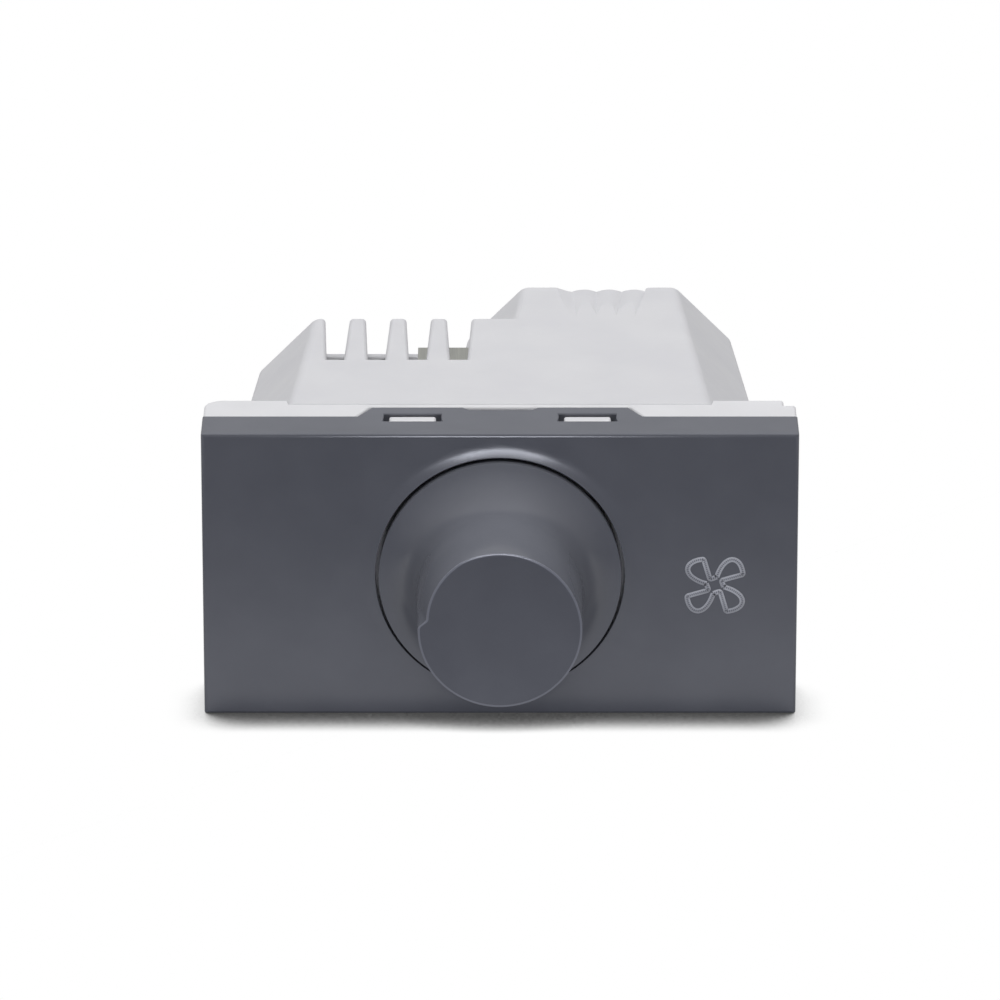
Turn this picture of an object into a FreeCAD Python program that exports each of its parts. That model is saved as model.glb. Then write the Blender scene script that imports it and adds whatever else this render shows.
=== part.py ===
import FreeCAD, Part
import math
import os
import re
import Sketcher

# Rotary fan speed control insert for a wall box.
# Frame: X to the right, Y to the rear, Z up. The origin lies on the knob's axis,
# in the plane of the carrier's rear face, which seats on the support frame of the wall plate.
# All sizes are in millimetres and degrees.

SIZES = {
    # Front cover: a cap with a lip and snap tabs
    "cover_width": 50.0,
    "cover_height": 25.1,
    "cover_plate": 1.6,
    "cover_wall": 1.2,
    "cover_lip": 4.4,
    "cover_bevel": 0.15,
    "tab_reach": 2.35,
    "tab_bridge_reach": 1.7,
    "tab_inner": 3.15,
    "tab_outer": 10.8,
    "tab_shoulder": 1.25,
    "slot_centre": 7.35,
    "slot_width": 4.85,
    "slot_opening": 1.95,
    "slot_overlap": 1.1,
    # Knob opening and the collar round it
    "hole_radius": 10.5,
    "collar_rise": 0.2,
    "collar_land": 0.05,
    "collar_band": 1.4,
    # Knob
    "knob_gap": 0.32,
    "knob_height": 13.0,
    "knob_end_radius": 6.8,
    "knob_taper": 0.1,
    "knob_flare": 4.5,
    "knob_lead": 0.7,
    "knob_rim": 0.5,
    "knob_wall": 1.3,
    "knob_cap": 2.2,
    "knob_edge": 0.12,
    "dish_depth": 0.25,
    "dish_flat": 3.4,
    "hub_wall": 1.3,
    "hub_gap": 0.4,
    "bore_cap": 3.6,
    "notch_depth": 3.2,
    "notch_inset": 0.7,
    "notch_start": 118.0,
    "notch_end": 175.0,
    "notch_margin": 0.6,
    # Carrier behind the cover
    "seat_depth": 8.8,
    "flange_inset": 0.1,
    "flange_side_inset": 0.05,
    "frame_corner": 1.6,
    "frame_step_side": 1.0,
    "frame_step_back": 1.3,
    "front_wall": 2.0,
    "front_setback": 3.0,
    "cover_clearance": 0.1,
    "catch_width": 3.95,
    "catch_length": 1.65,
    "catch_height": 1.0,
    "pad_margin": 1.0,
    "pad_width": 3.8,
    "pad_length": 1.4,
    "pad_rise": 0.05,
    "rebate_depth": 1.2,
    "spigot_length": 2.5,
    "spigot_wall": 1.2,
    "post_radius": 1.9,
    "post_side": 1.2,
    "post_roof": 2.9,
    # Rear housing
    "seat_width": 2.35,
    "housing_chamfer": 5.0,
    "housing_draft": 4.2,
    "housing_wall": 1.4,
    "housing_edge": 1.2,
    "inner_edge": 0.5,
    "rear_bevel": 0.2,
    "left_depth": 21.2,
    "block_depth": 29.7,
    "block_triac_gap": 0.1,
    "housing_clearance": 0.15,
    "vent_margin": 3.46,
    "vent_block_gap": 4.6,
    "vent_pitch": 3.53,
    "vent_start": 10.5,
    "vent_narrow": 1.45,
    "vent_wide": 2.2,
    "vent_height": 3.2,
    "grip_start": 21.7,
    "grip_depth": 0.55,
    "grip_block_gap": 3.3,
    "grip_slope": 1.5,
    "grip_margin": 4.5,
    "grip_taper": 1.3,
    "rib_rise": 0.22,
    # Control behind the knob
    "shaft_radius": 3.0,
    "shaft_fit": 0.05,
    "shaft_flat": 0.9,
    "shaft_flat_margin": 0.2,
    "bushing_wall": 0.45,
    "bushing_front": 0.3,
    "nut_flats": 10.0,
    "nut_height": 1.6,
    "washer_radius": 5.6,
    "washer_height": 0.5,
    "can_radius": 8.0,
    "can_length": 6.8,
    "can_wall": 0.7,
    "wafer_height": 1.2,
    "wiper_clearance": 0.7,
    "wiper_height": 1.5,
    "collar_radius": 4.8,
    "collar_height": 1.0,
    "wiper_gap": 0.3,
    "contact_edge": 1.2,
    "contact_radius": 0.6,
    "pin_width": 1.0,
    "pin_pitch": 2.5,
    "pin_rise": 6.2,
    "pin_tail": 0.8,
    # Board and what stands on it
    "board_thickness": 1.6,
    "board_gap": 0.5,
    "hole_clearance": 0.1,
    "board_screw_radius": 0.9,
    "board_screw_length": 7.0,
    "screw_head_radius": 1.8,
    "screw_head_height": 1.2,
    "sink_left": -7.1,
    "sink_block_gap": 1.5,
    "sink_end_gap": 1.8,
    "sink_back_gap": 3.5,
    "sink_thickness": 1.4,
    "sink_roof_gap": 0.2,
    "triac_width": 10.0,
    "triac_gap": 0.2,
    "triac_body_length": 9.2,
    "triac_body_height": 4.4,
    "triac_tab_length": 6.2,
    "triac_tab_height": 1.3,
    "triac_lead": 1.2,
    "triac_lead_width": 0.8,
    "triac_lead_pitch": 2.54,
    "triac_screw_radius": 1.5,
    "choke_side_gap": 3.2,
    "choke_outer": 4.3,
    "choke_inner": 2.3,
    "choke_height": 5.0,
    "winding_thickness": 0.6,
    "winding_sweep": 300.0,
    "film_gap": 1.6,
    "film_length": 13.0,
    "film_width": 6.0,
    "film_floor_gap": 1.7,
    "film_height": 11.0,
    "component_edge": 0.5,
    "timing_gap": 0.4,
    "timing_length": 7.0,
    "timing_width": 3.0,
    "timing_height": 6.0,
    "resistor_radius": 1.1,
    "resistor_length": 5.0,
    "resistor_gap": 0.2,
    "resistor_z": -0.5,
    "resistor_spacing": 2.6,
    "diac_radius": 0.9,
    "diac_length": 4.0,
    "diac_fuse_gap": 3.1,
    "diac_z": 1.2,
    "fuse_radius": 1.6,
    "fuse_length": 6.0,
    "fuse_side_gap": 5.4,
    "lead_radius": 0.3,
    "leg_radius": 0.25,
    "lead_reach": 1.0,
    # Wire terminals in the deep block
    "cage_length": 6.0,
    "cage_width": 6.8,
    "cage_wall": 1.2,
    "cage_side_gap": 0.47,
    "cage_chamfer_gap": 0.4,
    "cage_half_spacing": 1.0,
    "strap_width": 3.0,
    "strap_thickness": 0.8,
    "entry_size": 3.6,
    "terminal_screw_radius": 1.5,
    "terminal_head_radius": 1.9,
    "terminal_head_height": 1.2,
    "screw_hole_radius": 2.1,
    "driver_slot": 0.6,
}

doc = FreeCAD.newDocument("fan_speed_control")
sheet = doc.addObject("Spreadsheet::Sheet", "sizes")
for row, (alias, number) in enumerate(SIZES.items(), start=1):
    sheet.set(f"A{row}", alias)
    sheet.set(f"B{row}", str(number))
    sheet.setAlias(f"B{row}", alias)
doc.recompute()

NODES = []
RIB_COUNT = 3

# Places and sizes that several pieces share, as formulas on the sheet
FACE = "(-seat_depth)"
KNOB_END = "(-seat_depth - knob_height)"
SHOULDER = "(cover_lip - seat_depth)"
WALL_FRONT = "(front_setback - seat_depth)"
WALL_BACK = "(front_setback + front_wall - seat_depth)"
CAN_BACK = f"({WALL_BACK} + can_length)"
BOARD_FRONT = f"({CAN_BACK} + wafer_height)"
BOARD_BACK = f"({BOARD_FRONT} + board_thickness)"
SHAFT_TIP = f"({KNOB_END} + bore_cap)"
NUT_FRONT = f"({WALL_FRONT} - washer_height - nut_height)"
BUSHING_FRONT = f"({NUT_FRONT} - bushing_front)"
INNER_HEIGHT = "(cover_height / 2 - cover_wall - cover_clearance)"
TAB_HALF = "(tab_outer + tab_shoulder)"
SLOT_FRONT = f"({SHOULDER} - slot_overlap)"
KNOB_NECK = "(knob_end_radius + knob_taper)"
HUB_RADIUS = "(shaft_radius + hub_wall)"
HUB_BACK = f"({BUSHING_FRONT} - hub_gap)"
BUSHING_RADIUS = "(shaft_radius + shaft_fit + bushing_wall)"
WIPER_RADIUS = "(can_radius - can_wall - wiper_clearance)"
FRAME_HALF = "(cover_height / 2 - flange_inset)"
FRAME_HALF_WIDTH = "(cover_width / 2 - flange_side_inset)"
PAD_OUTER = f"({FRAME_HALF_WIDTH} - pad_margin)"
HOUSING_HALF = f"({FRAME_HALF} + pad_rise)"
HOUSING_SIDE = f"({FRAME_HALF_WIDTH} - seat_width)"
HOUSING_TOP = f"({HOUSING_SIDE} - housing_chamfer)"
ROOF = f"({HOUSING_HALF} - housing_wall)"
POST_X = f"({HOUSING_TOP} - post_side)"
POST_Z = f"({ROOF} - post_roof)"
BLOCK_BACK = "(block_depth - housing_wall)"
TUNNEL_FRONT = f"({BLOCK_BACK} - cage_length + cage_wall)"
BLOCK_SIDE = f"({HOUSING_SIDE} - block_depth * tan(housing_draft) - housing_wall)"
CAGE_X = f"({BLOCK_SIDE} - cage_side_gap - cage_width / 2)"
CAGE_LEFT = f"({CAGE_X} - cage_width / 2)"
CAGE_TOP = f"({HOUSING_HALF} - housing_chamfer - cage_chamfer_gap)"
CAGE_HEIGHT = f"({CAGE_TOP} - cage_half_spacing)"
CAGE_Z = f"(({CAGE_TOP} + cage_half_spacing) / 2)"
TRIAC_RIGHT = f"({CAGE_LEFT} - triac_gap)"
TRIAC_CENTRE = f"({TRIAC_RIGHT} - triac_width / 2)"
BLOCK_LEFT = f"({TRIAC_RIGHT} - triac_width - block_triac_gap)"
FILM_LEFT = f"({CAGE_LEFT} - film_gap - film_length)"
FILM_LOW = f"(film_floor_gap - {ROOF})"
TIMING_LEFT = f"({CAGE_LEFT} - timing_gap - timing_length)"
RESISTOR_X = f"({TIMING_LEFT} - resistor_gap - lead_reach - resistor_length / 2)"
FUSE_X = f"({HOUSING_SIDE} - fuse_side_gap)"
DIAC_X = f"({FUSE_X} - diac_fuse_gap)"
CHOKE_X = f"(choke_side_gap + choke_outer + winding_thickness - {HOUSING_SIDE})"


def bound(formula):
    """The formula with every size read from its cell of the sheet."""
    return re.sub(r"[a-z_]+", lambda word: f"sizes.{word[0]}" if word[0] in SIZES else word[0], formula)


def value(formula):
    """The number that a formula gives now."""
    return float(sheet.evalExpression(bound(formula)))


def bind(target, prop, formula):
    target.setExpression(prop, bound(formula))


def new_body(label):
    body = doc.addObject("PartDesign::Body", label)
    body.Label = label
    NODES.append(body)
    return body


def origin_plane(body, role):
    return next(item for item in body.Origin.OriginFeatures if item.Role == role)


def new_sketch(body, name, plane, offset="0"):
    """A sketch on one of the body's own planes, moved along that plane's normal."""
    sketch = body.newObject("Sketcher::SketchObject", name)
    sketch.AttachmentSupport = (origin_plane(body, plane), [""])
    sketch.MapMode = "FlatFace"
    bind(sketch, "AttachmentOffset.Base.z", offset)
    return sketch


def cross_section(body, name, depth):
    """A sketch across the object at a place along Y; its axes are X and Z."""
    return new_sketch(body, name, "XZ_Plane", f"-({depth})")


def hold_point(sketch, geometry, point, across, up):
    for kind, formula in (("DistanceX", across), ("DistanceY", up)):
        index = sketch.addConstraint(Sketcher.Constraint(kind, -1, 1, geometry, point, value(formula)))
        bind(sketch, f"Constraints[{index}]", formula)


def arc_between(start, end, radius, side):
    """The short arc from start to end, with its centre to the left (1) or the right (-1)."""
    chord = end - start
    middle = (start + end) * 0.5
    left = FreeCAD.Vector(-chord.y, chord.x, 0).normalize()
    centre = middle + left * (side * math.sqrt(radius ** 2 - (chord.Length / 2) ** 2))
    crown = centre + (middle - centre).normalize() * radius
    return Part.Arc(start, crown, end)


def outline(sketch, corners):
    """A closed outline; a corner may carry the radius and side of the arc that leaves it."""
    points = [FreeCAD.Vector(value(corner[0]), value(corner[1]), 0) for corner in corners]
    ends = []
    for index, corner in enumerate(corners):
        start = points[index]
        end = points[(index + 1) % len(points)]
        is_arc = len(corner) > 2
        if is_arc:
            edge = arc_between(start, end, value(corner[2]), corner[3])
        else:
            edge = Part.LineSegment(start, end)
        geometry = sketch.addGeometry(edge, False)
        first = 1 if not is_arc or corner[3] > 0 else 2
        ends.append((geometry, first, 3 - first))
        if is_arc:
            constraint = sketch.addConstraint(Sketcher.Constraint("Radius", geometry, value(corner[2])))
            bind(sketch, f"Constraints[{constraint}]", corner[2])
    for index, (geometry, first, last) in enumerate(ends):
        following, following_first, _ = ends[(index + 1) % len(ends)]
        sketch.addConstraint(Sketcher.Constraint("Coincident", geometry, last, following, following_first))
        hold_point(sketch, geometry, first, *corners[index][:2])


def rectangle(sketch, left, right, bottom, top):
    outline(sketch, [(left, bottom), (right, bottom), (right, top), (left, top)])


def circle(sketch, across, up, radius):
    centre = FreeCAD.Vector(value(across), value(up), 0)
    geometry = sketch.addGeometry(Part.Circle(centre, FreeCAD.Vector(0, 0, 1), value(radius)), False)
    index = sketch.addConstraint(Sketcher.Constraint("Radius", geometry, value(radius)))
    bind(sketch, f"Constraints[{index}]", radius)
    hold_point(sketch, geometry, 3, across, up)


def pad(body, name, sketch, length, backwards=False):
    """Material along the sketch's normal, or against it. A cross section's normal points to the front."""
    feature = body.newObject("PartDesign::Pad", name)
    feature.Profile = sketch
    feature.Reversed = backwards
    bind(feature, "Length", length)
    doc.recompute()
    return feature


def pocket(body, name, sketch, length, backwards=False):
    """A cut against the sketch's normal, or along it if backwards; it has to remove something."""
    before = body.Shape.Volume
    feature = body.newObject("PartDesign::Pocket", name)
    feature.Profile = sketch
    feature.Reversed = backwards
    bind(feature, "Length", length)
    doc.recompute()
    if body.Shape.Volume > before - 0.001:
        raise RuntimeError(f"{name} cuts nothing")
    return feature


def loft(body, kind, name, sections):
    feature = body.newObject(f"PartDesign::{kind}Loft", name)
    feature.Profile = sections[0]
    feature.Sections = sections[1:]
    feature.Ruled = True
    doc.recompute()
    return feature


def revolve(body, name, sketch):
    """The sketch turned about its vertical axis."""
    feature = body.newObject("PartDesign::Revolution", name)
    feature.Profile = sketch
    feature.ReferenceAxis = (sketch, ["V_Axis"])
    feature.Angle = 360
    doc.recompute()
    return feature


def round_edges(body, kind, name, base, size_name, radius, wanted):
    """A Fillet or Chamfer on the edges of the base feature that the test picks."""
    names = [f"Edge{i}" for i, edge in enumerate(base.Shape.Edges, start=1) if wanted(edge)]
    feature = body.newObject(f"PartDesign::{kind}", name)
    feature.Base = (base, names)
    bind(feature, size_name, radius)
    doc.recompute()
    return feature


def box(name, low, high):
    """A block between two corners, each three formulas."""
    block = doc.addObject("Part::Box", name)
    for axis, side, start, end in zip("xyz", ("Length", "Width", "Height"), low, high):
        bind(block, f"Placement.Base.{axis}", start)
        bind(block, side, f"({end}) - ({start})")
    return block


AXIS_TURN = {
    "x": FreeCAD.Rotation(FreeCAD.Vector(0, 1, 0), 90),
    "y": FreeCAD.Rotation(FreeCAD.Vector(1, 0, 0), -90),
    "z": FreeCAD.Rotation(),
}


def rod(name, start, radius, length, along="y"):
    """A cylinder from a start point along one axis."""
    cylinder = doc.addObject("Part::Cylinder", name)
    cylinder.Placement = FreeCAD.Placement(FreeCAD.Vector(), AXIS_TURN[along])
    for axis, formula in zip("xyz", start):
        bind(cylinder, f"Placement.Base.{axis}", formula)
    bind(cylinder, "Radius", radius)
    bind(cylinder, "Height", length)
    return cylinder


def cut(name, base, tool):
    result = doc.addObject("Part::Cut", name)
    result.Base = base
    result.Tool = tool
    return result


def fuse(name, pieces):
    result = doc.addObject("Part::MultiFuse", name)
    result.Shapes = pieces
    return result


def group(name, pieces):
    """Separate solids of one kind, kept as one piece."""
    result = doc.addObject("Part::Compound", name)
    result.Links = pieces
    return result


def finish(label, result):
    result.Label = label
    NODES.append(result)
    return result


def chamfered_outline(sketch, right, left, high, low, rounding):
    """A section with 45 degree chamfers and rounded corners, the same above and below.

    right and left each give the end of the flat top and the place of the side wall.
    """
    run = f"({rounding} * tan(22.5))"
    slant = f"({run} / sqrt(2))"
    right_top, right_side = right
    left_top, left_side = left
    right_corners = [
        ((f"{right_top} - {run}", high), (f"{right_top} + {slant}", f"{high} - {slant}")),
        ((f"{right_side} - {slant}", f"{low} + {slant}"), (right_side, f"{low} - {run}")),
    ]
    left_corners = [
        ((left_side, f"{low} - {run}"), (f"{left_side} + {slant}", f"{low} + {slant}")),
        ((f"{left_top} - {slant}", f"{high} - {slant}"), (f"{left_top} + {run}", high)),
    ]

    def below(corners):
        return [tuple((across, f"-({up})") for across, up in reversed(pair)) for pair in reversed(corners)]

    corners = right_corners + below(right_corners) + below(left_corners) + left_corners
    outline(sketch, [point for enter, leave in corners for point in ((*enter, rounding, -1), leave)])


def section_sizes(depth, inset):
    """The right side and the heights of the housing's section at a place along Y, inside an even wall."""
    corner = f"({inset}) * tan(22.5)"
    draw_in = f"({depth}) * tan(housing_draft)"
    top = f"({HOUSING_TOP} - {draw_in} - {corner})"
    side = f"({HOUSING_SIDE} - {draw_in} - ({inset}))"
    high = f"({HOUSING_HALF} - ({inset}))"
    low = f"({HOUSING_HALF} - housing_chamfer - {corner})"
    return (top, side), high, low


def housing_outline(sketch, depth, inset, rounding="inner_edge"):
    """The housing's section: the right side, mirrored."""
    right, high, low = section_sizes(depth, inset)
    left = tuple(f"(-{place})" for place in right)
    chamfered_outline(sketch, right, left, high, low, rounding)


def block_outline(sketch, depth, inset, rounding="inner_edge"):
    """The deep block's section: the housing's right side, and a chamfered left side of its own."""
    right, high, low = section_sizes(depth, inset)
    draw_in = f"(({depth}) - left_depth) * tan(housing_draft)"
    left_top = f"({BLOCK_LEFT} + {draw_in} + ({inset}) * tan(22.5))"
    left_side = f"({BLOCK_LEFT} - housing_chamfer + {draw_in} + ({inset}))"
    chamfered_outline(sketch, right, (left_top, left_side), high, low, rounding)


def make_front_cover():
    body = new_body("front_cover")
    half_width = "cover_width / 2"
    half_height = "cover_height / 2"
    face = cross_section(body, "cover_face", FACE)
    rectangle(face, f"-{half_width}", half_width, f"-{half_height}", half_height)
    cap = pad(body, "cover_cap", face, "cover_lip", backwards=True)

    def on_front(edge):
        return abs(edge.BoundBox.YMin - value(FACE)) < 1e-6 and edge.BoundBox.YLength < 1e-6

    round_edges(body, "Chamfer", "cover_front_bevel", cap, "Size", "cover_bevel", on_front)

    collar = new_sketch(body, "collar_profile", "XY_Plane")
    buried = f"({FACE} + cover_plate / 2)"
    crest = f"({FACE} - collar_rise)"
    run = "(collar_band - collar_land)"
    outline(collar, [
        ("hole_radius - collar_land", buried),
        ("hole_radius - collar_land", crest),
        ("hole_radius + collar_land", crest, f"({run} ^ 2 + collar_rise ^ 2) / (2 * collar_rise)", -1),
        ("hole_radius + collar_band", FACE),
        ("hole_radius + collar_band", buried),
    ])
    revolve(body, "collar", collar)

    for side in ("top", "bottom"):
        tab_floor = f"{half_height} - cover_wall" if side == "top" else f"-{half_height}"
        tabs = new_sketch(body, f"tabs_{side}", "XY_Plane", tab_floor)
        overlap = f"({SHOULDER} - cover_wall)"
        bridge = f"({SHOULDER} + tab_bridge_reach)"
        reach = f"({SHOULDER} + tab_reach)"
        bridge_end = "(tab_inner - (tab_reach - tab_bridge_reach))"
        outline(tabs, [
            (f"-{TAB_HALF}", overlap), (TAB_HALF, overlap), (TAB_HALF, SHOULDER),
            ("tab_outer", reach), ("tab_inner", reach), (bridge_end, bridge),
            (f"-{bridge_end}", bridge), ("-tab_inner", reach),
            ("-tab_outer", reach), (f"-{TAB_HALF}", SHOULDER),
        ])
        pad(body, f"snap_tabs_{side}", tabs, "cover_wall")

    hollow = cross_section(body, "hollow_outline", f"{FACE} + cover_plate")
    inner_width = f"({half_width} - cover_wall)"
    inner_height = f"({half_height} - cover_wall)"
    rectangle(hollow, f"-{inner_width}", inner_width, f"-{inner_height}", inner_height)
    pocket(body, "hollow", hollow, "cover_lip + tab_reach")

    opening = cross_section(body, "knob_opening_outline", f"{FACE} - 2 * collar_rise")
    circle(opening, "0", "0", "hole_radius")
    pocket(body, "knob_opening", opening, "2 * collar_rise + 2 * cover_plate")

    slots = new_sketch(body, "slot_outlines", "XY_Plane", f"{half_height} + cover_wall")
    for centre in ("slot_centre", "-slot_centre"):
        rectangle(slots, f"{centre} - slot_width / 2", f"{centre} + slot_width / 2",
                  SLOT_FRONT, f"{SLOT_FRONT} + slot_opening")
    pocket(body, "catch_slots", slots, "cover_height + 2 * cover_wall")


def pointer_section(body, name, depth, surface, inset):
    """The pointer notch across the knob: it leaves the surface at its start and is deepest at its step."""
    inner = f"({surface} - {inset})"
    outer = "(knob_end_radius + notch_margin)"
    section = cross_section(body, name, depth)
    outline(section, [
        (f"{surface} * cos(notch_start)", f"{surface} * sin(notch_start)", f"{surface} - {inset} / 2", 1),
        (f"{inner} * cos(notch_end)", f"{inner} * sin(notch_end)"),
        (f"{outer} * cos(notch_end)", f"{outer} * sin(notch_end)", outer, -1),
        (f"{outer} * cos(notch_start)", f"{outer} * sin(notch_start)"),
    ])
    return section


def make_knob():
    body = new_body("control_knob")
    skirt = "(hole_radius - knob_gap)"
    flare_reach = f"sqrt(knob_flare ^ 2 - ({KNOB_NECK} + knob_flare - {skirt}) ^ 2)"
    flare_end = f"({FACE} - knob_lead)"
    flare_start = f"({flare_end} - {flare_reach})"
    inner_flare = "(knob_flare + knob_wall)"
    rim_back = f"({FACE} + knob_rim)"
    rim_drop = f"({rim_back} - {flare_start})"
    rim_inner = f"({KNOB_NECK} + knob_flare - sqrt({inner_flare} ^ 2 - {rim_drop} ^ 2))"
    half_turn = f"(asin({rim_drop} / {inner_flare}) / 2)"
    knee_radius = f"({KNOB_NECK} + knob_flare - {inner_flare} * cos({half_turn}))"
    dish_floor = f"({KNOB_END} + dish_depth)"
    neck_inner = f"({KNOB_NECK} - knob_wall)"
    profile = new_sketch(body, "knob_profile", "XY_Plane")
    outline(profile, [
        ("0", dish_floor),
        ("dish_flat", dish_floor),
        ("knob_end_radius - knob_edge", KNOB_END),
        ("knob_end_radius", f"{KNOB_END} + knob_edge"),
        (KNOB_NECK, flare_start, "knob_flare", -1),
        (skirt, flare_end),
        (skirt, rim_back),
        (rim_inner, rim_back),
        (knee_radius, f"{flare_start} + {inner_flare} * sin({half_turn})"),
        (neck_inner, flare_start),
        (neck_inner, f"{KNOB_END} + knob_cap"),
        (HUB_RADIUS, f"{KNOB_END} + knob_cap"),
        (HUB_RADIUS, HUB_BACK),
        ("0", HUB_BACK),
    ])
    revolve(body, "knob_turned", profile)

    bore = cross_section(body, "bore_outline", HUB_BACK)
    half_flat = "sqrt(shaft_radius ^ 2 - (shaft_radius - shaft_flat) ^ 2)"
    flat = "(shaft_radius - shaft_flat)"
    outline(bore, [
        (f"-{half_flat}", flat, "shaft_radius", 1),
        ("0", "-shaft_radius", "shaft_radius", 1),
        (half_flat, flat),
    ])
    pocket(body, "shaft_bore", bore, f"{HUB_BACK} - {SHAFT_TIP}", backwards=True)

    loft(body, "Subtractive", "pointer_notch", [
        pointer_section(body, "pointer_deep", KNOB_END, "knob_end_radius", "notch_inset"),
        pointer_section(body, "pointer_run_out", f"{KNOB_END} + notch_depth", KNOB_NECK, "0"),
    ])


def make_mounting_frame():
    body = new_body("mounting_frame")
    left = f"-{FRAME_HALF_WIDTH}"
    right = FRAME_HALF_WIDTH
    plan = new_sketch(body, "flange_plan", "XY_Plane", f"-{FRAME_HALF}")
    outline(plan, [
        (left, SHOULDER), (right, SHOULDER),
        (right, "-frame_step_back"), (f"{right} - frame_step_side", "-frame_step_back"),
        (f"{right} - frame_step_side", "0"), (f"{left} + frame_corner", "0", "frame_corner", 1),
        (left, "-frame_corner"),
    ])
    pad(body, "flange", plan, f"2 * {FRAME_HALF}")

    front = cross_section(body, "front_outline", SHOULDER)
    inner_width = "(cover_width / 2 - cover_wall - cover_clearance)"
    rectangle(front, f"-{inner_width}", inner_width, f"-{INNER_HEIGHT}", INNER_HEIGHT)
    pad(body, "front_tray", front, f"{SHOULDER} - {WALL_FRONT}")

    rebate = cross_section(body, "rebate_outline", "-rebate_depth")
    housing_outline(rebate, "0", "-housing_clearance")
    pocket(body, "housing_rebate", rebate, "2 * rebate_depth")

    spigot = cross_section(body, "spigot_outline", "-rebate_depth")
    housing_outline(spigot, "spigot_length", "housing_wall + housing_clearance")
    pad(body, "spigot", spigot, "rebate_depth + spigot_length", backwards=True)

    cavity = cross_section(body, "cavity_outline", WALL_BACK)
    housing_outline(cavity, "spigot_length", "housing_wall + housing_clearance + spigot_wall")
    pocket(body, "cavity", cavity, f"spigot_length - {WALL_BACK} + rebate_depth")

    hole = cross_section(body, "bushing_hole_outline", WALL_FRONT)
    circle(hole, "0", "0", BUSHING_RADIUS)
    pocket(body, "bushing_hole", hole, "2 * front_wall")

    posts = cross_section(body, "post_outlines", WALL_BACK)
    for across in (POST_X, f"-{POST_X}"):
        for up in (POST_Z, f"-{POST_Z}"):
            circle(posts, across, up, "post_radius")
            circle(posts, across, up, "board_screw_radius")
    pad(body, "board_posts", posts, f"{BOARD_FRONT} - {WALL_BACK}", backwards=True)

    for side in ("top", "bottom"):
        recess_floor = INNER_HEIGHT if side == "top" else f"-{FRAME_HALF} - cover_wall"
        recess = new_sketch(body, f"tab_recess_{side}_outline", "XY_Plane", recess_floor)
        reach = f"({SHOULDER} + tab_reach + 2 * cover_clearance)"
        outer = f"({TAB_HALF} + 2 * cover_clearance)"
        back = "(tab_outer + 2 * cover_clearance)"
        outline(recess, [(f"-{outer}", SHOULDER), (outer, SHOULDER), (back, reach), (f"-{back}", reach)])
        pocket(body, f"tab_recess_{side}", recess, f"{FRAME_HALF} + cover_wall - {INNER_HEIGHT}",
               backwards=True)

        catch_floor = INNER_HEIGHT if side == "top" else f"-{INNER_HEIGHT} - catch_height"
        catches = new_sketch(body, f"catch_outlines_{side}", "XY_Plane", catch_floor)
        catch_front = f"({SLOT_FRONT} + (slot_opening - catch_length) / 2)"
        for centre in ("slot_centre", "-slot_centre"):
            rectangle(catches, f"{centre} - catch_width / 2", f"{centre} + catch_width / 2",
                      catch_front, f"{catch_front} + catch_length")
        pad(body, f"catches_{side}", catches, "catch_height")

        pad_floor = FRAME_HALF if side == "top" else f"-{FRAME_HALF} - pad_rise"
        pads = new_sketch(body, f"locating_pad_outlines_{side}", "XY_Plane", pad_floor)
        pad_back = f"{SHOULDER} + pad_length"
        rectangle(pads, f"{PAD_OUTER} - pad_width", PAD_OUTER, SHOULDER, pad_back)
        rectangle(pads, f"-{PAD_OUTER}", f"pad_width - {PAD_OUTER}", SHOULDER, pad_back)
        pad(body, f"locating_pads_{side}", pads, "pad_rise")


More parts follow.
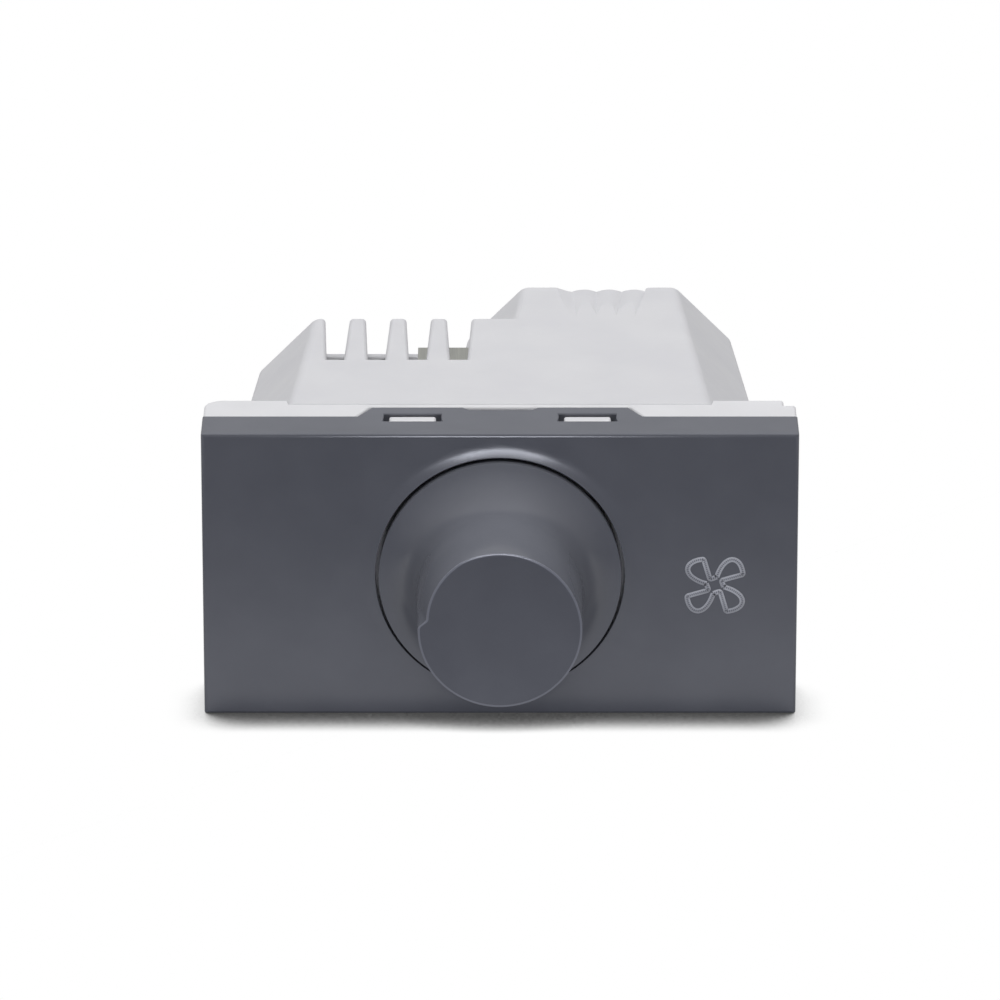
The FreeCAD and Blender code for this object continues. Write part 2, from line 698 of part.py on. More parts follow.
def make_rear_housing():
    body = new_body("rear_housing")
    front = "(-rebate_depth)"
    overlap = "(left_depth - 2 * housing_wall)"
    first = f"(vent_margin - {HOUSING_TOP})"
    vent_room = value(f"{BLOCK_LEFT} - vent_block_gap - {first}")
    vent_count = 1 + math.floor(vent_room / value("vent_pitch"))

    def stepped_loft(kind, name, section_outline, stations):
        """A loft through sections, each given by its depth, its inset and the rounding of its corners."""
        sections = []
        for index, station in enumerate(stations):
            section = cross_section(body, f"{name}_section_{index}", station[0])
            section_outline(section, *station)
            sections.append(section)
        loft(body, kind, name, sections)

    tip_rounding = "(housing_edge - rear_bevel)"
    stepped_loft("Additive", "main_shell", housing_outline, [
        (front, "0", "housing_edge"), ("left_depth - rear_bevel", "0", "housing_edge"),
        ("left_depth", "rear_bevel", tip_rounding),
    ])
    stepped_loft("Additive", "block_shell", block_outline, [
        (overlap, "0", "housing_edge"), ("block_depth - rear_bevel", "0", "housing_edge"),
        ("block_depth", "rear_bevel", tip_rounding),
    ])
    stepped_loft("Subtractive", "main_hollow", housing_outline, [
        (front, "housing_wall"), ("left_depth - housing_wall", "housing_wall"),
    ])
    stepped_loft("Subtractive", "block_hollow", block_outline, [
        (overlap, "housing_wall"), (BLOCK_BACK, "housing_wall"),
    ])

    for side in ("top", "bottom"):
        surface = HOUSING_HALF if side == "top" else f"-{HOUSING_HALF}"
        vents = new_sketch(body, f"vent_outlines_{side}", "XY_Plane", f"{surface} - vent_height")
        end = "(left_depth + housing_wall)"
        for index in range(vent_count):
            centre = f"({first} + {index} * vent_pitch)"
            outline(vents, [
                (f"{centre} - vent_narrow / 2", "vent_start"), (f"{centre} + vent_narrow / 2", "vent_start"),
                (f"{centre} + vent_wide / 2", end), (f"{centre} - vent_wide / 2", end),
            ])
        pocket(body, f"vents_{side}", vents, "2 * vent_height", backwards=True)

        stations = [("grip_start", "0", "grip_taper"), ("block_depth + housing_wall", "grip_depth", "0")]
        sections = []
        for index, (depth, sink, taper) in enumerate(stations):
            section = cross_section(body, f"grip_{side}_section_{index}", depth)
            grip_outline(section, sink, taper, side)
            sections.append(section)
        loft(body, "Subtractive", f"grip_{side}", sections)

    screw_holes = cross_section(body, "screw_hole_outlines", f"{BLOCK_BACK} - housing_wall")
    entries = new_sketch(body, "wire_entry_outlines", "YZ_Plane", CAGE_X)
    for height in (CAGE_Z, f"-{CAGE_Z}"):
        circle(screw_holes, CAGE_X, height, "screw_hole_radius")
        rectangle(entries, TUNNEL_FRONT, f"{TUNNEL_FRONT} + entry_size",
                  f"{height} - entry_size / 2", f"{height} + entry_size / 2")
    pocket(body, "screw_holes", screw_holes, "3 * housing_wall")
    pocket(body, "wire_entries", entries, HOUSING_SIDE, backwards=True)


def grip_outline(sketch, sink, taper, side):
    """The cut for the ribbed grip: a sloped left side and three ribs that stay between shallow grooves."""
    left = f"({BLOCK_LEFT} + grip_block_gap + {taper})"
    groove = f"({BLOCK_LEFT} + grip_block_gap + grip_slope + {taper} / 3)"
    right = f"({HOUSING_TOP} - grip_margin - {taper})"
    pitch = f"(({right} - {groove}) / {RIB_COUNT})"
    rib_radius = f"(({pitch} ^ 2 / 4 + rib_rise ^ 2) / (2 * rib_rise))"
    turn = -1 if side == "top" else 1
    mark = "" if side == "top" else "-"
    surface = f"{mark}{HOUSING_HALF}"
    above = f"{mark}({HOUSING_HALF} + housing_wall)"
    base = f"{mark}({HOUSING_HALF} - {sink})"
    ribs = [(f"{groove} + {index} * {pitch}", base, rib_radius, turn) for index in range(RIB_COUNT)]
    outline(sketch, [(left, above), (left, surface)] + ribs + [(right, base), (right, above)])


def make_control():
    """The potentiometer: a can with its bushing, nut and washer, the shaft and wiper, the wafer, the pins."""
    inside = f"({WALL_BACK} + can_wall)"
    collar_front = f"({inside} + wiper_gap)"
    wiper_front = f"({collar_front} + collar_height)"
    wiper_back = f"({wiper_front} + wiper_height)"
    can_space = fuse("can_space", [
        rod("can_inside", ("0", inside, "0"), "can_radius - can_wall", "can_length"),
        rod("can_hole", ("0", f"{WALL_BACK} - can_wall", "0"), BUSHING_RADIUS, "3 * can_wall"),
    ])
    can = rod("can_outside", ("0", WALL_BACK, "0"), "can_radius", "can_length")
    finish("potentiometer_can", cut("potentiometer_can", can, can_space))

    sleeve = rod("bushing_outside", ("0", BUSHING_FRONT, "0"), BUSHING_RADIUS,
                 f"{inside} - {BUSHING_FRONT}")
    bore = rod("bushing_bore", ("0", f"{BUSHING_FRONT} - can_wall", "0"), "shaft_radius + shaft_fit",
               f"{inside} - {BUSHING_FRONT} + 2 * can_wall")
    finish("potentiometer_bushing", cut("potentiometer_bushing", sleeve, bore))

    hexagon = doc.addObject("Part::Prism", "nut_outside")
    hexagon.Polygon = 6
    hexagon.Placement = FreeCAD.Placement(FreeCAD.Vector(), AXIS_TURN["y"])
    bind(hexagon, "Placement.Base.y", NUT_FRONT)
    bind(hexagon, "Circumradius", "nut_flats / 2 / cos(30)")
    bind(hexagon, "Height", "nut_height")
    nut_bore = rod("nut_bore", ("0", f"{NUT_FRONT} - nut_height", "0"), BUSHING_RADIUS, "3 * nut_height")
    finish("bushing_nut", cut("bushing_nut", hexagon, nut_bore))

    disc = rod("washer_outside", ("0", f"{WALL_FRONT} - washer_height", "0"), "washer_radius",
               "washer_height")
    washer_bore = rod("washer_bore", ("0", f"{WALL_FRONT} - 2 * washer_height", "0"), BUSHING_RADIUS,
                      "3 * washer_height")
    finish("bushing_washer", cut("bushing_washer", disc, washer_bore))

    stem = rod("shaft_stem", ("0", SHAFT_TIP, "0"), "shaft_radius", f"{wiper_back} - {SHAFT_TIP}")
    flat = box("shaft_flat_cut",
               ("-2 * shaft_radius", f"{SHAFT_TIP} - shaft_radius", "shaft_radius - shaft_flat"),
               ("2 * shaft_radius", f"{HUB_BACK} + shaft_flat_margin", "2 * shaft_radius"))
    collar = rod("shaft_collar", ("0", collar_front, "0"), "collar_radius", "collar_height")
    finish("potentiometer_shaft", fuse("potentiometer_shaft", [cut("shaft_turned", stem, flat), collar]))

    plate = rod("wiper_plate", ("0", wiper_front, "0"), WIPER_RADIUS, "wiper_height")
    wiper_bore = rod("wiper_bore", ("0", f"{wiper_front} - wiper_height", "0"), "shaft_radius",
                     "3 * wiper_height")
    contacts = [
        rod(f"wiper_contact_{name}", (across, wiper_front, "0"), "contact_radius",
            f"{CAN_BACK} - wiper_gap - {wiper_front}")
        for name, across in (("right", f"{WIPER_RADIUS} - contact_edge"),
                             ("left", f"contact_edge - {WIPER_RADIUS}"))
    ]
    finish("wiper_disc", fuse("wiper_disc", [cut("wiper_ring", plate, wiper_bore)] + contacts))

    finish("resistance_wafer", rod("resistance_wafer", ("0", CAN_BACK, "0"), "can_radius", "wafer_height"))
    pins = [
        box(f"pin_{index}",
            (f"{index} * pin_pitch - pin_width / 2", BOARD_FRONT, "pin_rise - pin_width / 2"),
            (f"{index} * pin_pitch + pin_width / 2", f"{BOARD_BACK} + pin_tail", "pin_rise + pin_width / 2"))
        for index in (-1, 0, 1)
    ]
    finish("potentiometer_pins", group("potentiometer_pins", pins))


def make_board():
    body = new_body("circuit_board")
    edge = cross_section(body, "board_outline", BOARD_FRONT)
    housing_outline(edge, BOARD_BACK, "housing_wall + board_gap")
    pad(body, "board", edge, "board_thickness", backwards=True)
    holes = cross_section(body, "board_hole_outlines", f"{BOARD_FRONT} - board_thickness")
    for index in (-1, 0, 1):
        half = "(pin_width / 2 + hole_clearance)"
        rectangle(holes, f"{index} * pin_pitch - {half}", f"{index} * pin_pitch + {half}",
                  f"pin_rise - {half}", f"pin_rise + {half}")
    screws = []
    for across in (POST_X, f"-{POST_X}"):
        for up in (POST_Z, f"-{POST_Z}"):
            circle(holes, across, up, "board_screw_radius + hole_clearance")
            name = f"board_screw_{len(screws)}"
            head = rod(f"{name}_head", (across, BOARD_BACK, up), "screw_head_radius", "screw_head_height")
            shank = rod(f"{name}_shank", (across, f"{BOARD_BACK} - board_screw_length", up),
                        "board_screw_radius", "board_screw_length")
            screws.append(fuse(name, [head, shank]))
    pocket(body, "board_holes", holes, "3 * board_thickness")
    finish("board_screws", group("board_screws", screws))


def make_power_stage():
    """The heat sink plate under the vents, the triac on its lower side and the screw that joins them."""
    sink_top = f"({ROOF} - sink_roof_gap)"
    sink_base = f"({sink_top} - sink_thickness)"
    body_front = f"({BOARD_BACK} + triac_lead)"
    tab_front = f"({body_front} + triac_body_length)"
    tab_back = f"({tab_front} + triac_tab_length)"
    tab_centre = f"({tab_front} + triac_tab_length / 2)"
    left = f"({TRIAC_RIGHT} - triac_width)"

    body = new_body("heat_sink")
    plan = new_sketch(body, "sink_plan", "XY_Plane", sink_base)
    short = "(left_depth - housing_wall - sink_end_gap)"
    long = f"({BLOCK_BACK} - sink_back_gap)"
    step = f"({BLOCK_LEFT} + sink_block_gap)"
    outline(plan, [
        ("sink_left", BOARD_BACK), (TRIAC_RIGHT, BOARD_BACK), (TRIAC_RIGHT, long),
        (step, long), (step, short), ("sink_left", short),
    ])
    pad(body, "sink_plate", plan, "sink_thickness")
    hole = new_sketch(body, "sink_hole_outline", "XY_Plane", f"{sink_top} + sink_thickness")
    circle(hole, TRIAC_CENTRE, tab_centre, "triac_screw_radius")
    pocket(body, "sink_hole", hole, "3 * sink_thickness")

    tab_base = f"({sink_base} - triac_tab_height)"
    case_base = f"({sink_base} - triac_body_height)"
    case = box("triac_case", (left, body_front, case_base), (TRIAC_RIGHT, tab_front, sink_base))
    tab = box("triac_tab_blank", (left, tab_front, tab_base), (TRIAC_RIGHT, tab_back, sink_base))
    tab_hole = rod("triac_tab_hole", (TRIAC_CENTRE, tab_centre, f"{tab_base} - triac_tab_height"),
                   "triac_screw_radius", "3 * triac_tab_height", along="z")
    lead_base = f"({sink_base} - triac_body_height / 2 - triac_lead_width / 2)"
    leads = [
        box(f"triac_lead_{index}",
            (f"{TRIAC_CENTRE} + {index} * triac_lead_pitch - triac_lead_width / 2", BOARD_BACK, lead_base),
            (f"{TRIAC_CENTRE} + {index} * triac_lead_pitch + triac_lead_width / 2", body_front,
             f"{lead_base} + triac_lead_width"))
        for index in (-1, 0, 1)
    ]
    finish("triac", fuse("triac", [case, cut("triac_tab", tab, tab_hole)] + leads))

    shank = rod("triac_screw_shank", (TRIAC_CENTRE, tab_centre, tab_base), "triac_screw_radius",
                f"{sink_top} - {tab_base}", along="z")
    head = rod("triac_screw_head", (TRIAC_CENTRE, tab_centre, f"{tab_base} - 2 * screw_head_height"),
               "2 * triac_screw_radius", "2 * screw_head_height", along="z")
    finish("triac_screw", fuse("triac_screw", [shank, head]))


def make_choke():
    """The ring core, and the winding that wraps most of it."""
    core_front = f"({BOARD_BACK} + winding_thickness)"
    core_back = f"({core_front} + choke_height)"
    core = new_body("choke_core")
    bind(core, "Placement.Base.x", CHOKE_X)
    section = new_sketch(core, "core_section", "XY_Plane")
    rectangle(section, "choke_inner", "choke_outer", core_front, core_back)
    revolve(core, "core_ring", section)
    winding = new_body("choke_winding")
    bind(winding, "Placement.Base.x", CHOKE_X)
    section = new_sketch(winding, "winding_section", "XY_Plane")
    rectangle(section, "choke_inner - winding_thickness", "choke_outer + winding_thickness",
              BOARD_BACK, f"{core_back} + winding_thickness")
    rectangle(section, "choke_inner", "choke_outer", core_front, core_back)
    bind(revolve(winding, "winding_turns", section), "Angle", "winding_sweep")


def make_moulded_component(label, left, right, bottom, top, height):
    """A boxed component with rounded edges that stands on the board."""
    body = new_body(label)
    foot = cross_section(body, f"{label}_foot", BOARD_BACK)
    rectangle(foot, left, right, bottom, top)
    block = pad(body, f"{label}_block", foot, height, backwards=True)

    def off_the_board(edge):
        return edge.BoundBox.YMax > value(BOARD_BACK) + 1e-6

    round_edges(body, "Fillet", f"{label}_edges", block, "Radius", "component_edge", off_the_board)


def make_axial(name, centre_x, centre_z, radius, length, along):
    """An axial component that lies on the board, with its leads bent down to it."""
    height = f"({BOARD_BACK} + {radius})"
    span = f"({length} + 2 * lead_reach)"

    def start(reach):
        if along == "x":
            return (f"{centre_x} - {reach} / 2", height, centre_z)
        return (centre_x, height, f"{centre_z} - {reach} / 2")

    pieces = [
        rod(f"{name}_body", start(length), radius, length, along),
        rod(f"{name}_lead", start(span), "lead_radius", span, along),
    ]
    for end, mark in (("near", "-"), ("far", "+")):
        shift = f"{mark} ({span} / 2 - lead_radius)"
        place = (f"{centre_x} {shift}", centre_z) if along == "x" else (centre_x, f"{centre_z} {shift}")
        pieces.append(rod(f"{name}_leg_{end}", (place[0], BOARD_BACK, place[1]), "leg_radius", radius))
    return fuse(name, pieces)


def make_terminal(name, height):
    """A wire clamp: a brass cage with a tunnel for the wire, a strap to the board and the clamp screw."""
    front = f"({BLOCK_BACK} - cage_length)"
    right = f"({CAGE_LEFT} + cage_width)"
    low = f"({height} - {CAGE_HEIGHT} / 2)"
    high = f"({height} + {CAGE_HEIGHT} / 2)"
    cage = box(f"{name}_cage_block", (CAGE_LEFT, front, low), (right, BLOCK_BACK, high))
    tunnel = box(f"{name}_tunnel",
                 (f"{CAGE_LEFT} - cage_wall", TUNNEL_FRONT, f"{height} - entry_size / 2"),
                 (f"{right} + cage_wall", f"{TUNNEL_FRONT} + entry_size", f"{height} + entry_size / 2"))
    screw_way = rod(f"{name}_screw_way", (CAGE_X, TUNNEL_FRONT, height), "terminal_screw_radius",
                    "cage_length")
    strap = box(f"{name}_strap",
                (CAGE_LEFT, BOARD_BACK, f"{height} - strap_width / 2"),
                (f"{CAGE_LEFT} + strap_thickness", front, f"{height} + strap_width / 2"))
    hollow_cage = cut(f"{name}_cage_cut", cage, fuse(f"{name}_cage_space", [tunnel, screw_way]))
    finish(f"terminal_cage_{name}", fuse(f"terminal_cage_{name}", [hollow_cage, strap]))

    head_back = f"({BLOCK_BACK} + terminal_head_height)"
    head = rod(f"{name}_screw_head", (CAGE_X, BLOCK_BACK, height), "terminal_head_radius",
               "terminal_head_height")
    shank_front = f"({TUNNEL_FRONT} + entry_size)"
    shank = rod(f"{name}_screw_shank", (CAGE_X, shank_front, height), "terminal_screw_radius",
                f"{BLOCK_BACK} - {shank_front}")
    slot_half = "2 * terminal_head_radius"
    slot = box(f"{name}_driver_slot",
               (f"{CAGE_X} - {slot_half}", f"{head_back} - driver_slot", f"{height} - driver_slot / 2"),
               (f"{CAGE_X} + {slot_half}", f"{head_back} + driver_slot", f"{height} + driver_slot / 2"))
    blank = fuse(f"{name}_screw_blank", [head, shank])
    finish(f"terminal_screw_{name}", cut(f"terminal_screw_{name}", blank, slot))


def check_and_write():
    """Stops at anything that failed; then writes each piece to a file of its own."""
    doc.recompute()
    failed = [item.Name for item in doc.Objects if {"Invalid", "Error"} & set(item.State)]
    failed += [node.Label for node in NODES if node.Shape.isNull() or not node.Shape.isValid()]
    if failed:
        raise RuntimeError(f"failed: {failed}")
    os.makedirs("parts", exist_ok=True)
    for node in NODES:
        node.Shape.exportStep(f"parts/{node.Label}.step")
        print(node.Label, len(node.Shape.Solids), round(node.Shape.Volume, 2))


make_front_cover()
make_knob()
make_mounting_frame()
make_rear_housing()
make_control()
make_board()
make_power_stage()
make_choke()
make_moulded_component("film_capacitor", FILM_LEFT, f"{FILM_LEFT} + film_length",
                       FILM_LOW, f"{FILM_LOW} + film_width", "film_height")
make_moulded_component("timing_capacitor", TIMING_LEFT, f"{TIMING_LEFT} + timing_length",
                       "-timing_width / 2", "timing_width / 2", "timing_height")
resistor_places = ["resistor_z", "resistor_z + resistor_spacing"]
finish("resistors", group("resistors", [
    make_axial(f"resistor_{index}", RESISTOR_X, place, "resistor_radius", "resistor_length", "x")
    for index, place in enumerate(resistor_places)
]))
finish("diac", make_axial("diac", DIAC_X, "diac_z", "diac_radius", "diac_length", "z"))
finish("fuse", make_axial("fuse", FUSE_X, "0", "fuse_radius", "fuse_length", "z"))
make_terminal("line", CAGE_Z)
make_terminal("load", f"-{CAGE_Z}")
check_and_write()
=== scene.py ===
"""Rotary fan speed control insert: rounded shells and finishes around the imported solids."""

import math

import bmesh
import bpy
from mathutils import Matrix, Vector
from mathutils.bvhtree import BVHTree


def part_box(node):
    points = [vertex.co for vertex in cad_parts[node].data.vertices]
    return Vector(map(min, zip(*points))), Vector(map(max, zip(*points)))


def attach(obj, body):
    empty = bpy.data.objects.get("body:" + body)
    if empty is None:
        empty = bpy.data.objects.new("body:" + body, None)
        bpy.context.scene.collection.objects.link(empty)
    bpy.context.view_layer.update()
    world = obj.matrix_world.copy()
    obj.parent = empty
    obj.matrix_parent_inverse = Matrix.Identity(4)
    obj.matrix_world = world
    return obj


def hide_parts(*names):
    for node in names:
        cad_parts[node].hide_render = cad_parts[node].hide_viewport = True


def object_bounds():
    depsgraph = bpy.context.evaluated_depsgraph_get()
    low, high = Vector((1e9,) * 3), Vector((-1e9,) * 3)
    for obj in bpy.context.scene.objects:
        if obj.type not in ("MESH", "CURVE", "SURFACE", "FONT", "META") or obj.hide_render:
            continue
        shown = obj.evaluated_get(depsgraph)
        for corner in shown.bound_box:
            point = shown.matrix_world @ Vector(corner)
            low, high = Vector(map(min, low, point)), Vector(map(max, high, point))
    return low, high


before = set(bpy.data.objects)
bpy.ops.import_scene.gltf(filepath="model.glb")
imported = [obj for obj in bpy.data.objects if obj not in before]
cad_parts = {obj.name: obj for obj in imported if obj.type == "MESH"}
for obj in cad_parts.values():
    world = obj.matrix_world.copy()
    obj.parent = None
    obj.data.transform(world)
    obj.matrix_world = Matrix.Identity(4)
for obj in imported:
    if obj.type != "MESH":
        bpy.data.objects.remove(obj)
cad_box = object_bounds()

# Sizes are in millimetres and angles in degrees. MM turns sizes into the frame's metres.
MM = 0.001

# Front plane of the cover
FACE = -8.8

# Knob: what its box doesn't give
KNOB_END_RADIUS = 6.8
KNOB_NECK_RADIUS = 6.9
KNOB_FLARE = 4.5
KNOB_LEAD = 0.7
KNOB_RIM_LAND = 0.13
KNOB_RIM_TILT = 12.0
KNOB_RIM_ROUNDING = 0.05
KNOB_SKIRT_ROUNDING = 0.12
KNOB_SKIRT_LEAN = -60.0
KNOB_WALL = 1.3
KNOB_CAP = 2.2
DISH_DEPTH = 0.25
DISH_FLAT_RADIUS = 3.4
DISH_EASE = 1.3
HUB_RADIUS = 4.3
HUB_BACK = -8.6
SHAFT_RADIUS = 3.0
SHAFT_FLAT = 2.1
SHAFT_TIP = -18.2
NOTCH_START = 118.0
NOTCH_END = 175.0
NOTCH_INSET = 0.7
NOTCH_DEPTH = 3.2
NOTCH_STEP = 8.0
NOTCH_SHARE_OF_DISH = 1 / 3
KNOB_SEGMENTS = 240
KNOB_CREASE = 38.0
DISH_STEPS = 14
ROUNDING_STEPS = 4
FLARE_STEPS = 28
INSIDE_STEPS = 16

# Edge roundings of the moulded shells. An edge takes one where both its faces are wide enough, measured in
# roundings, and neither the shell itself nor a neighbouring shell is in the way.
COVER_ROUNDING = 0.13
CARRIER_ROUNDING = 0.2
HOUSING_ROUNDING = 0.3
ROUNDING_SEGMENTS = 3
ROUNDING_ROOM = 1.5
SHELL_GAP = 0.15
SHARP_EDGE = 28.0
SHADING_CREASE = 7.5
SAME_POINT = 0.001
SAME_PLANE = 0.5
CLEAR_OF_SURFACE = 0.01

# Fan symbol on the face: each blade has a straight edge, a pointed corner and a round lobe back to the hub
SYMBOL_CENTRE = (18.08, -0.95)
SYMBOL_STROKE = 0.44
SYMBOL_RISE = 0.012
SYMBOL_CORNER = 0.14
SYMBOL_CORNER_STEPS = 3
SYMBOL_DOT = 0.17
SYMBOL_DOT_STRENGTH = 0.25
SYMBOL_LINE_EDGES = (0.05, 0.4)
BLADE_COUNT = 4
BLADE_ROOT = (0.52, 0.43)
BLADE_TIP = (2.35, 0.97)
BLADE_HEEL = (0.14, 0.74)
LOBE_PULLS = ((2.2, 2.7), (0.78, 2.89))
LOBE_STEPS = 24

# Choke: its core's width across the ring, and the wire round it
CORE_WIDTH = 2.0
WIRE_RADIUS = 0.28
WIRE_SIDES = 10
WIRE_BEND_STEPS = 4
WIRE_CREASE = 60.0
WINDING_TURNS = 17
WINDING_SWEEP = 300.0

# The middle part of a noise pattern, which holds nearly all of it
NOISE_SPAN = (0.3, 0.7)

# Studio: a white backdrop, a dim room under a pale ceiling, a broad softbox above and a low panel in front
SURROUND_LEVEL = 0.25
ROOM_LEVEL = 0.1
CEILING_LEVEL = 0.5
CEILING_EDGES = (-0.1, 0.7)
SOFTBOX_LEVEL = 2.74
SOFTBOX_ANGLE = 90.0
SOFTBOX_FROM_BEHIND = 10.0
SOFTBOX_FROM_LEFT = 2.0
PANEL_LEVEL = 15.0
PANEL_COLOUR = "#f0f3ff"
PANEL_WIDTH = 44.0
PANEL_HEIGHT = 22.0
PANEL_RISE = 11.0
PANEL_DISTANCE = 150.0
FLOOR_NEAR = 0.58
FLOOR_FAR = 0.02
FLOOR_FADE = (-14.0, -58.0)
FLOOR_HALF = 3000.0
SHADOW_REACH = 4.85
SHADOW_TILT = 8.0
SHADOW_DARKEST = 0.05
SHADOW_OPENS = (0.365, 0.92)
SHADOW_SAMPLES = 16

# The photograph's camera: it looks down on the middle of the face from this far away
CAMERA_ELEVATION = 20.8
CAMERA_DISTANCE = 660.0
CAMERA_LENS = 282.7
CAMERA_SENSOR = 36.0
CAMERA_NEAR = 10.0
CAMERA_AIM_ABOVE = 6.28


def linear(hex_colour):
    """An sRGB hex colour as linear RGBA."""
    channels = [int(hex_colour[i:i + 2], 16) / 255 for i in (1, 3, 5)]
    return [c / 12.92 if c <= 0.04045 else ((c + 0.055) / 1.055) ** 2.4 for c in channels] + [1.0]


def per(size):
    """The texture scale at which one feature is this many millimetres wide."""
    return 1 / (size * MM)


def add(tree, kind, inputs, **settings):
    """One node: its settings by name, and each input set to a number or linked to a socket."""
    node = tree.nodes.new(kind)
    for name, setting in settings.items():
        setattr(node, name, setting)
    for key, source in inputs.items():
        socket = next(s for s in node.inputs if key in (s.identifier, s.name))
        if isinstance(source, bpy.types.NodeSocket):
            tree.links.new(source, socket)
        else:
            socket.default_value = source
    return node


class Finish:
    """A material being built: its shader, its tree and the object's own coordinates."""

    def __init__(self, name, **values):
        self.material = bpy.data.materials.new(name)
        self.material.use_nodes = True
        self.tree = self.material.node_tree
        self.shader = self.tree.nodes["Principled BSDF"]
        for label, value in values.items():
            self.shader.inputs[label].default_value = value
        self.place = add(self.tree, "ShaderNodeTexCoord", {}).outputs["Object"]

    def noise(self, size, detail=2.0, stretch=(1, 1, 1)):
        """A cloudy pattern whose features are about this many millimetres wide."""
        scale = [per(size) / s for s in stretch]
        place = add(self.tree, "ShaderNodeMapping", {"Vector": self.place, "Scale": scale})
        node = add(self.tree, "ShaderNodeTexNoise",
                   {"Vector": place.outputs["Vector"], "Scale": 1.0, "Detail": detail})
        return node.outputs["Fac"]

    def tones(self, pattern, low, high, span=NOISE_SPAN):
        """The base colour runs between two tones along a pattern."""
        ramp = add(self.tree, "ShaderNodeValToRGB", {"Fac": pattern})
        for stop, place, tone in zip(ramp.color_ramp.elements, span, (low, high)):
            stop.position = place
            stop.color = linear(tone)
        self.tree.links.new(ramp.outputs["Color"], self.shader.inputs["Base Color"])

    def gloss(self, pattern, low, high):
        """The roughness runs between two values along a pattern."""
        spread = add(self.tree, "ShaderNodeMapRange",
                     {"Value": pattern, "From Min": NOISE_SPAN[0], "From Max": NOISE_SPAN[1],
                      "To Min": low, "To Max": high})
        self.tree.links.new(spread.outputs["Result"], self.shader.inputs["Roughness"])

    def relief(self, pattern, depth):
        """Fine relief of this many millimetres along a pattern."""
        bump = add(self.tree, "ShaderNodeBump", {"Height": pattern, "Distance": depth * MM, "Strength": 1.0})
        self.tree.links.new(bump.outputs["Normal"], self.shader.inputs["Normal"])


def moulded_graphite(name, low, high):
    """ABS from a fine tool: dark, with a soft sheen, faint clouds of tone and a slight waviness."""
    finish = Finish(name, IOR=1.53)
    finish.tones(finish.noise(5.0, detail=4), low, high)
    finish.gloss(finish.noise(1.6, detail=3), 0.18, 0.22)
    finish.relief(finish.noise(0.9), 0.0012)
    return finish.material


def moulded_white(name, low, high):
    """Polycarbonate as moulded: a cool white with a dull gloss and faint flow clouds."""
    finish = Finish(name, IOR=1.58)
    finish.tones(finish.noise(7.0, detail=3), low, high)
    finish.gloss(finish.noise(2.5), 0.38, 0.5)
    finish.relief(finish.noise(0.3, detail=3), 0.004)
    return finish.material


def laser_mark():
    """The plastic foamed pale by a laser: two fine lines side by side, made of small dots."""
    finish = Finish("laser_foamed_abs", Roughness=0.7, IOR=1.5)
    across = add(finish.tree, "ShaderNodeAttribute", {}, attribute_name="across").outputs["Fac"]
    along = add(finish.tree, "ShaderNodeAttribute", {}, attribute_name="along").outputs["Fac"]
    off_middle = add(finish.tree, "ShaderNodeMath", {"Value": across}, operation="ABSOLUTE")
    phase = add(finish.tree, "ShaderNodeMath", {"Value": along, "Value_001": math.tau * per(SYMBOL_DOT)},
                operation="MULTIPLY")
    dots = add(finish.tree, "ShaderNodeMath", {"Value": phase.outputs["Value"]}, operation="SINE")
    lines = add(finish.tree, "ShaderNodeMath",
                {"Value": dots.outputs["Value"], "Value_001": SYMBOL_DOT_STRENGTH,
                 "Value_002": off_middle.outputs["Value"]}, operation="MULTIPLY_ADD")
    finish.tones(lines.outputs["Value"], "#767882", "#bcbec6", SYMBOL_LINE_EDGES)
    finish.relief(finish.noise(0.08), 0.01)
    return finish.material


def rolled_aluminium():
    """Sheet aluminium: grey, with fine rolling lines along its length."""
    finish = Finish("rolled_aluminium_sheet", Metallic=1.0)
    lines = finish.noise(0.12, detail=2, stretch=(1, 40, 1))
    finish.tones(lines, "#e8e9e2", "#f4f5ee")
    finish.gloss(lines, 0.38, 0.55)
    return finish.material


def plated_steel():
    """Zinc plated steel: bright grey with a mild bluish cloud."""
    finish = Finish("zinc_plated_steel", Metallic=1.0)
    cloud = finish.noise(1.4, detail=4)
    finish.tones(cloud, "#a3a7ad", "#c2c5c9")
    finish.gloss(cloud, 0.26, 0.42)
    return finish.material


def turned_brass():
    """Machined brass: warm yellow, slightly dulled."""
    finish = Finish("machined_brass", Metallic=1.0)
    cloud = finish.noise(1.1, detail=4)
    finish.tones(cloud, "#b08d45", "#c9a75e")
    finish.gloss(cloud, 0.24, 0.4)
    return finish.material


def board_laminate():
    """Glass fibre board under green solder mask: the weave shows faintly through the gloss."""
    finish = Finish("solder_masked_laminate", Roughness=0.35, IOR=1.52)
    weave = add(finish.tree, "ShaderNodeTexWave",
                {"Vector": finish.place, "Scale": per(0.9), "Distortion": 1.5}).outputs["Fac"]
    finish.tones(weave, "#1f5a3a", "#2a6b47")
    finish.relief(weave, 0.004)
    return finish.material


def phenolic_wafer():
    """Paper phenolic: brown, with darker fibres."""
    finish = Finish("paper_phenolic", Roughness=0.5, IOR=1.55)
    finish.tones(finish.noise(0.5, detail=5, stretch=(4, 1, 1)), "#6b4526", "#855a35")
    return finish.material


def moulded_epoxy():
    """Transistor epoxy: black and matt, with a sandy grain."""
    finish = Finish("moulded_epoxy", Roughness=0.6, IOR=1.55)
    grain = finish.noise(0.15, detail=3)
    finish.tones(grain, "#1b1b1d", "#28282b")
    finish.relief(grain, 0.008)
    return finish.material


def pressed_ferrite():
    """Pressed and fired ferrite: dark grey with small pits."""
    finish = Finish("pressed_ferrite", Roughness=0.55, IOR=1.9)
    grain = finish.noise(0.3, detail=5)
    finish.tones(grain, "#2c2d30", "#3d3e42")
    finish.relief(grain, 0.01)
    return finish.material


